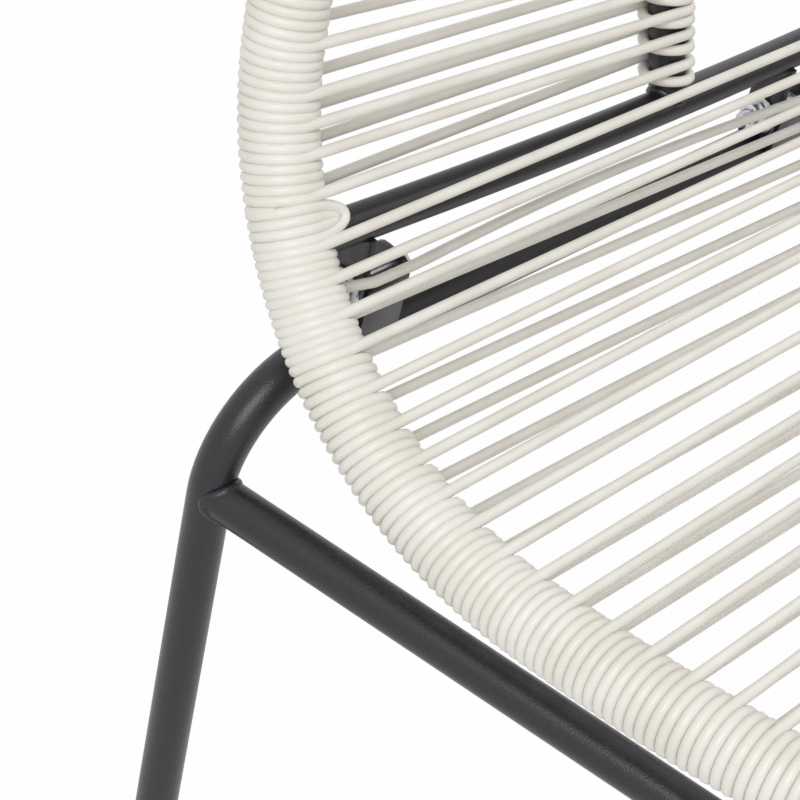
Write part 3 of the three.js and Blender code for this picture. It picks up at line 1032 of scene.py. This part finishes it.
    def hoop_wrap(self, height: float, rise: float, side: Side) -> np.ndarray:
        """Give a turn and a half on the hoop, from its back to its front.

        The cord dips behind the hoop first, then climbs and crosses over itself at
        the back, so that both strands leave at the top of the turns.

        Args:
            height: Height of the lowest turn.
            rise: Rise of one turn.
            side: The side of the bar.

        Returns:
            Points from the lower strand's end to the top strand's.
        """
        lap = np.linspace(self.wrap_laps, 0, self.wrap_points)
        climb = np.maximum(0, self.climb_laps - lap)
        dip = np.clip((lap - self.climb_laps) / (self.wrap_laps - self.climb_laps), 0, 1)
        level = height + rise * (climb + self.dip_share * dip**2 * (3 - 2 * dip))
        off_crossing = (lap - self.crossing_lap) / self.crossing_width
        over = 2 * self.cord_radius * np.exp(-(off_crossing**2))
        centre, _, front, outward = self.hoop.hoop_frame(level, side)
        angle = 2 * math.pi * lap[:, None]
        away = np.cos(angle) * front - np.sin(angle) * outward
        return centre + (self.hoop_wound + over)[:, None] * away

    def fan_cord(self, side: Side) -> np.ndarray:
        """Give one side's fan, from the crease to the top of the back.

        From its turns on the ring the cord goes to the hoop's back as a lower strand,
        winds round the hoop and comes back to the ring as a top strand.

        Args:
            side: The side of the chair.

        Returns:
            The cord's path.
        """
        exits = self.fan_exits()
        first = self.basket.cross_place + self.back_first
        last = (self.basket.half_length - first) / self.back_pitch + self.back_end
        leaves = [*(turn - HALF_TURN for turn, _, _ in exits[1:]), last]

        def rim(start: float, end: float) -> np.ndarray:
            """Give the winding of the back's rim from one turn number to another."""
            turn = self.turns(start, end)
            return self.rim_points(first + self.back_pitch * turn, turn, side)

        run = [rim(self.back_start, -HALF_TURN)]
        for (turn, height, rise), leave in zip(exits, leaves):
            wrap, back = self.hoop_wrap(height, rise, side), rim(turn, leave)
            run += [self.strand(run[-1][-1], wrap[0]), wrap, self.strand(wrap[-1], back[0]), back]
        return np.concatenate(run)

    def build(self, finishes: Finishes) -> None:
        """Make and dress the cord pieces.

        Args:
            finishes: The chair's finishes.
        """
        seat = TubeMesh()
        for path in self.seat_cord():
            seat.sweep(path, self.cord_radius, self.cord_sides)
        nodes = ("seat_weave_front", *(f"seat_weave_{i}" for i in range(1, 5)))
        finishes.dress(seat.build("seat_cord"), Slot.CORD, nodes)
        for side in Side:
            fan = TubeMesh()
            fan.sweep(self.fan_cord(side), self.cord_radius, self.cord_sides)
            for spread, reach in self.weld_loops:
                loop = self.weld_loop(side, spread, reach)
                fan.sweep(loop, self.cord_radius, self.cord_sides, closed=True)
            nodes = tuple(f"{side.word}_back_weave_{i}" for i in range(1, 4))
            finishes.dress(fan.build(f"{side.word}_back_cord"), Slot.CORD, nodes)


@dataclass
class BasketTubes:
    """Ring, cross tube and hoop as smooth bent tubes, in metres."""

    basket: BasketLines
    hoop: HoopLines
    ring_joint_gap: float = 0.0073
    gap: float = 0.0003
    ring_steps: int = 420
    cross_steps: int = 80
    hoop_steps: int = 48
    cross_sunk_share: float = 0.6
    hoop_sunk_share: float = 0.3

    def build(self, finishes: Finishes) -> None:
        """Make and dress the tubes.

        Args:
            finishes: The chair's finishes.
        """
        radius = self.basket.ring_radius
        joint = self.basket.cross_place + self.ring_joint_gap
        start = joint + self.gap
        end = 2 * self.basket.half_length - start
        for word, first, last in (("seat", -joint, joint), ("back", start, end)):
            places = np.linspace(first, last, self.ring_steps)
            rim = swept_piece(
                f"{word}_rim_tube", self.basket.ring_points(places, Side.LEFT), radius
            )
            finishes.dress(rim, Slot.STEEL, (f"{word}_ring_tube",))
        reach = self.hoop.cross_half - self.cross_sunk_share * radius
        path = self.hoop.cross_points(np.linspace(-reach, reach, self.cross_steps))
        cross = swept_piece("lower_cross_tube", path, self.hoop.radius)
        finishes.dress(cross, Slot.STEEL, ("cross_tube",))
        finishes.dress(self.bent_hoop(), Slot.STEEL, ("back_hoop",))
        across = np.array([1.0, 0, 0])
        for side in Side:
            foot = self.hoop.foot * np.array([side.value, 1, 1])
            _, rising, _, _ = self.hoop.hoop_frame(np.array([0.0]), side)
            name = f"{side.word}_hoop_weld"
            bead = WeldBead().build(name, foot, rising[0], across, self.hoop.radius)
            finishes.dress(bead, Slot.STEEL)

    def bent_hoop(self) -> bpy.types.Object:
        """Bend the hoop, from its right foot over the top to its left foot.

        Returns:
            The hoop.
        """
        sunk = self.hoop_sunk_share * self.hoop.radius
        start, rising, _, _ = (v[0] for v in self.hoop.hoop_frame(np.array([sunk]), Side.RIGHT))
        tube = BentTube("inner_hoop", start, rising, self.hoop.radius)
        tube.push(self.hoop.straight - sunk)
        tube.bend(math.pi, np.array([1.0, 0, 0]), self.hoop.half_width, self.hoop_steps)
        tube.push(self.hoop.straight - sunk)
        return tube.finish()


@dataclass
class LegFrames:
    """Bent leg frames and stretchers, in metres."""

    basket: BasketLines
    radius: float = 0.010
    bend: float = 0.058
    rear_half: float = 0.3445
    rear_forward: float = 0.003
    rear_drop: float = 0.069
    rear_splay: float = 0.077
    rear_lean: float = 0.091
    front_ahead: float = 0.485
    front_splay: float = 0.077
    front_lean: float = 0.060
    front_tab_inset: float = 0.052
    front_tab_rise: float = 0.003
    wound_rim_radius: float = 0.0166
    stretcher_drop: float = 0.120
    toe: float = 0.208
    sole: float = 0.006
    tab_step: float = 0.0041
    bar_sunk_share: float = 0.5

    def __post_init__(self) -> None:
        """Work out the corners as the CAD does."""
        height = self.basket.crease_height
        self.rear_top = height - self.rear_drop
        self.stretcher_z = height - self.stretcher_drop
        reach = self.stretcher_x(-self.front_ahead)
        place = 0.0
        while self.ring(place)[0] < reach - self.front_tab_inset:
            place += self.tab_step
        self.tab_place = place
        clearance = self.wound_rim_radius + self.radius + self.front_tab_rise
        self.front_top = self.ring(place)[2] - clearance
        self.front_half = reach - self.front_splay * (self.front_top - self.stretcher_z)

    def ring(self, place: float) -> np.ndarray:
        """Give the ring's point at a place on the left."""
        return self.basket.ring_points(np.array(place), Side.LEFT)

    def stretcher_x(self, y: float) -> float:
        """Give the stretcher's x at a depth from the crease."""
        return (
            self.rear_half
            + self.rear_splay * (self.stretcher_drop - self.rear_drop)
            + self.toe * (y + self.rear_forward)
        )

    def leg_point(self, z: float, end: End) -> np.ndarray:
        """Give a point of a left leg's centre line.

        Args:
            z: Its height.
            end: The leg's end of the base.

        Returns:
            The point.
        """
        if end is End.REAR:
            half, ahead, drop = self.rear_half, self.rear_forward, self.rear_top - z
            splay, lean = self.rear_splay, self.rear_lean
        else:
            half, ahead, drop = self.front_half, self.front_ahead, self.front_top - z
            splay, lean = self.front_splay, self.front_lean
        return np.array([half + splay * drop, -ahead - lean * drop + self.basket.depth_shift, z])

    def frame_tube(self, end: End) -> bpy.types.Object:
        """Bend one leg frame, from the right foot over both corners to the left foot.

        Args:
            end: The frame's end of the base.

        Returns:
            The frame.
        """
        top = self.rear_top if end is End.REAR else self.front_top
        flip = np.array([-1, 1, 1])
        corner, foot = self.leg_point(top, end), self.leg_point(self.sole, end)
        corners = [foot * flip, corner * flip, corner, foot]
        name = f"{end.value}_frame_tube"
        tube = BentTube(name, corners[0], corners[1] - corners[0], self.radius)
        for i in (1, 2):
            before = unit(corners[i] - corners[i - 1])
            after = unit(corners[i + 1] - corners[i])
            angle = math.acos(before @ after)
            start = corners[i] - before * self.bend * math.tan(angle / 2)
            tube.push((Vector(start) - tube.place).length)
            tube.bend(angle, after - before * (before @ after), self.bend)
        tube.push((Vector(corners[3]) - tube.place).length)
        return tube.finish()

    def build(self, finishes: Finishes) -> None:
        """Make and dress the frames and stretchers.

        Args:
            finishes: The chair's finishes.
        """
        for end in End:
            finishes.dress(self.frame_tube(end), Slot.STEEL, (f"{end.value}_leg_frame",))
        for side in Side:
            flip = np.array([side.value, 1, 1])
            rear = self.leg_point(self.stretcher_z, End.REAR) * flip
            front = self.leg_point(self.stretcher_z, End.FRONT) * flip
            axis = unit(front - rear)
            sunk = self.bar_sunk_share * self.radius
            bar = BentTube(f"{side.word}_side_bar", rear + axis * sunk, axis, self.radius)
            bar.push(float(np.linalg.norm(front - rear)) - 2 * sunk)
            finishes.dress(bar.finish(), Slot.STEEL, (f"{side.word}_stretcher",))
            for end, joint, branch in ((End.REAR, rear, axis), (End.FRONT, front, -axis)):
                leg = unit(joint - self.leg_point(0, end) * flip)
                name = f"{side.word}_{end.value}_weld"
                bead = WeldBead().build(name, joint, branch, leg, self.radius)
                finishes.dress(bead, Slot.STEEL)


@dataclass
class EdgedNodes:
    """CAD nodes rebuilt with the small rounded edges of pressed and moulded parts."""

    plate_bevel_mm: float = 0.7
    cap_bevel_mm: float = 1.0
    bevel_segments: int = 3
    flat_angle: float = math.radians(1)
    edge_angle: float = math.radians(32)

    def rounded(self, node: bpy.types.Object, name: str, bevel_mm: float) -> bpy.types.Object:
        """Copy a node, merge its faces and round its edges.

        Args:
            node: The CAD node.
            name: The new piece's name.
            bevel_mm: Width of the rounded edge.

        Returns:
            The new piece.
        """
        piece = bpy.data.objects.new(name, node.data.copy())
        bpy.context.scene.collection.objects.link(piece)
        activate(piece)
        bpy.ops.object.mode_set(mode="EDIT")
        bpy.ops.mesh.select_all(action="SELECT")
        bpy.ops.mesh.remove_doubles(threshold=MERGE)
        bpy.ops.mesh.dissolve_limited(angle_limit=self.flat_angle)
        bpy.ops.object.mode_set(mode="OBJECT")
        bevel = piece.modifiers.new("edges", "BEVEL")
        bevel.width, bevel.segments = bevel_mm * MM, self.bevel_segments
        bevel.limit_method, bevel.angle_limit = "ANGLE", self.edge_angle
        bevel.harden_normals = False
        bpy.ops.object.modifier_apply(modifier=bevel.name)
        smooth_by_angle(piece)
        return piece

    def build(self, nodes: dict[str, bpy.types.Object], finishes: Finishes) -> None:
        """Make and dress the brackets, tabs and foot caps.

        Args:
            nodes: The CAD nodes by name.
            finishes: The chair's finishes.
        """
        for name in (*REAR_JOINT_PLATES, "left_front_tab", "right_front_tab"):
            piece = self.rounded(nodes[name], f"{name}_rounded", self.plate_bevel_mm)
            finishes.dress(piece, Slot.STEEL, (name,))
        for place in ("left_rear", "left_front", "right_rear", "right_front"):
            name = f"{place}_foot_cap"
            piece = self.rounded(nodes[name], f"{name}_moulded", self.cap_bevel_mm)
            finishes.dress(piece, Slot.PLASTIC, (name,))


@dataclass
class Fasteners:
    """Hexagon bolts with real threads, nuts and washers, in metres."""

    bolt_radius: float = 0.004
    end_chamfer: float = 0.0008
    thread_pitch: float = 0.00125
    thread_radius: float = 0.00052
    thread_sunk: float = 0.0001
    thread_past_nut: float = 0.004
    thread_sides: int = 6
    thread_steps: int = 20
    hexagon_bevel_mm: float = 0.6
    washer_bevel_mm: float = 0.3

    def threaded_bolt(
        self, node: bpy.types.Object, name: str, axis: Vector, nut: tuple[Vector, Vector]
    ) -> bpy.types.Object:
        """Round a bolt's edges and cut its thread.

        Args:
            node: The CAD bolt.
            name: The new piece's name.
            axis: From its head to its end.
            nut: The box of its nut.

        Returns:
            The new piece.
        """
        low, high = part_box(node.name)
        piece = EdgedNodes().rounded(node, name, self.hexagon_bevel_mm)
        along = 0 if abs(axis.x) > abs(axis.y) else 1
        end = (low + high) / 2
        end[along] = (high if axis[along] > 0 else low)[along]
        nut_middle = (nut[0] + nut[1]) / 2
        length = abs(end[along] - nut_middle[along]) + self.thread_past_nut
        turns = length / self.thread_pitch
        side = Vector((0, 0, 1))
        across = axis.cross(side)
        ridge_radius = self.bolt_radius - self.thread_sunk
        path = []
        for angle in np.linspace(0, 2 * math.pi * turns, int(turns * self.thread_steps)):
            back = self.end_chamfer + self.thread_pitch * angle / (2 * math.pi)
            around = side * math.cos(angle) + across * math.sin(angle)
            path.append(end - axis * back + around * ridge_radius)
        thread = TubeMesh()
        thread.sweep(np.array(path), self.thread_radius, self.thread_sides)
        ridge = thread.build(f"{name}_thread")
        activate(piece)
        ridge.select_set(True)
        bpy.ops.object.join()
        return piece

    def build(self, nodes: dict[str, bpy.types.Object], finishes: Finishes) -> None:
        """Make and dress all fasteners.

        Args:
            nodes: The CAD nodes by name.
            finishes: The chair's finishes.
        """
        edged = EdgedNodes()
        bolt_axes = {
            "left_rear": Vector((1, 0, 0)),
            "centre_rear": Vector((-1, 0, 0)),
            "right_rear": Vector((-1, 0, 0)),
            "left_front": Vector((0, 1, 0)),
            "right_front": Vector((0, 1, 0)),
        }
        for place, axis in bolt_axes.items():
            bolt, washer, nut = (f"{place}_{part}" for part in ("bolt", "washer", "nut"))
            piece = self.threaded_bolt(nodes[bolt], f"{bolt}_threaded", axis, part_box(nut))
            finishes.dress(piece, Slot.ZINC, (bolt,))
            piece = edged.rounded(nodes[washer], f"{washer}_plated", self.washer_bevel_mm)
            finishes.dress(piece, Slot.ZINC, (washer,))
            piece = edged.rounded(nodes[nut], f"{nut}_chamfered", self.hexagon_bevel_mm)
            finishes.dress(piece, Slot.ZINC, (nut,))


@dataclass(frozen=True)
class Studio:
    """Pale floor, soft light and the photograph's camera."""

    eye: Triple = (-0.8807, -0.3028, 0.9735)
    azimuth: float = math.radians(-52.82)
    elevation: float = math.radians(41.84)
    roll: float = math.radians(14.51)
    focal_pixels: float = 2363
    picture_pixels: float = 800
    sensor_mm: float = 36
    clip: Pair = (0.05, 50)
    lamp_places: tuple[Triple, ...] = ((-1.9, -0.9, 2.3), (1.8, 0.6, 2.4))
    lamp_sizes: Pair = (1.3, 2.4)
    lamp_powers: Pair = (32, 12)
    lamp_target: Triple = (0, 0, 0.4)
    sky_dim: float = 0.66
    floor_size: float = 30
    floor_tone: float = 0.8
    floor_glow: float = 0.97

    def camera(self) -> None:
        """Place the camera."""
        ahead = Vector((
            -math.sin(self.azimuth) * math.cos(self.elevation),
            math.cos(self.azimuth) * math.cos(self.elevation),
            -math.sin(self.elevation),
        ))
        level = Vector((ahead.y, -ahead.x, 0)).normalized()
        upper = level.cross(ahead)
        right = math.cos(self.roll) * level + math.sin(self.roll) * upper
        up = -math.sin(self.roll) * level + math.cos(self.roll) * upper
        bpy.ops.object.camera_add()
        camera = bpy.context.active_object
        turn = Matrix((right, up, -ahead)).transposed().to_4x4()
        camera.matrix_world = Matrix.Translation(self.eye) @ turn
        camera.data.sensor_width = self.sensor_mm
        camera.data.lens = self.focal_pixels * self.sensor_mm / self.picture_pixels
        camera.data.clip_start, camera.data.clip_end = self.clip
        bpy.context.scene.camera = camera

    def lamp(self, place: Triple, size: float, power: float) -> None:
        """Add a soft lamp that looks at the seat.

        Args:
            place: Where it hangs.
            size: Length of its side.
            power: Its power in watts.
        """
        bpy.ops.object.light_add(type="AREA", location=place)
        lamp = bpy.context.active_object
        lamp.data.shape, lamp.data.size, lamp.data.energy = "SQUARE", size, power
        aim = Vector(self.lamp_target) - Vector(place)
        lamp.rotation_euler = aim.to_track_quat("-Z", "Y").to_euler()

    @staticmethod
    def seen_white(tree: bpy.types.NodeTree, share: float) -> bpy.types.NodeSocket:
        """Give a share for rays that show the backdrop: camera, glossy and transmission.

        Args:
            tree: The node tree.
            share: Its value for those rays.

        Returns:
            The value socket.
        """
        rays = add_node(tree, "LightPath").outputs
        value = rays["Is Camera Ray"]
        for name in ("Is Glossy Ray", "Is Transmission Ray"):
            either = add_node(tree, "Math", {"operation": "MAXIMUM"}, {0: value, 1: rays[name]})
            value = either.outputs["Value"]
        scaled = add_node(tree, "Math", {"operation": "MULTIPLY", 1: share}, {0: value})
        return scaled.outputs["Value"]

    def world(self) -> None:
        """Light the scene evenly, with a white sky for the camera and for reflections."""
        world = bpy.data.worlds.new("studio")
        bpy.context.scene.world = world
        tree = emptied(world)
        dim, bright = (
            add_node(tree, "Background", {"Color": WHITE, "Strength": strength}).outputs[0]
            for strength in (self.sky_dim, 1.0)
        )
        seen = self.seen_white(tree, 1.0)
        mix = add_node(tree, "MixShader", links={"Fac": seen, 1: dim, 2: bright})
        add_node(tree, "OutputWorld", links={"Surface": mix.outputs["Shader"]})

    def floor(self) -> None:
        """Lay a white floor that keeps a soft shadow."""
        bpy.ops.mesh.primitive_plane_add(size=self.floor_size, location=(0, 0, 0))
        floor = bpy.context.active_object
        floor.name = "floor"
        material = bpy.data.materials.new("studio_floor_white")
        tree = emptied(material)
        diffuse = add_node(tree, "BsdfDiffuse", {"Color": (*[self.floor_tone] * 3, 1)}).outputs[0]
        glow = add_node(tree, "Emission", {"Color": WHITE, "Strength": 1.0}).outputs[0]
        seen = self.seen_white(tree, self.floor_glow)
        mix = add_node(tree, "MixShader", links={"Fac": seen, 1: diffuse, 2: glow})
        add_node(tree, "OutputMaterial", links={"Surface": mix.outputs["Shader"]})
        floor.data.materials.append(material)

    def build(self) -> None:
        """Set up the whole studio."""
        self.camera()
        self.world()
        self.floor()
        for lamp in zip(self.lamp_places, self.lamp_sizes, self.lamp_powers):
            self.lamp(*lamp)
        bpy.context.scene.view_settings.view_transform = "Standard"


def main() -> None:
    """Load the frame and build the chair's pieces in order."""
    logging.basicConfig(level=logging.INFO, format="%(name)s: %(message)s")
    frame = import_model()
    deselect()
    studio = Studio()
    studio.build()
    finishes = Finishes()
    basket = BasketLines()
    hoop = HoopLines(basket)
    obstacles = Obstacles(hoop)
    obstacles.read_joints()
    legs = LegFrames(basket)
    BasketTubes(basket, hoop).build(finishes)
    legs.build(finishes)
    Weave(basket, hoop, obstacles, tab_place=legs.tab_place).build(finishes)
    EdgedNodes().build(frame["nodes"], finishes)
    Fasteners().build(frame["nodes"], finishes)


if __name__ == "__main__":
    main()
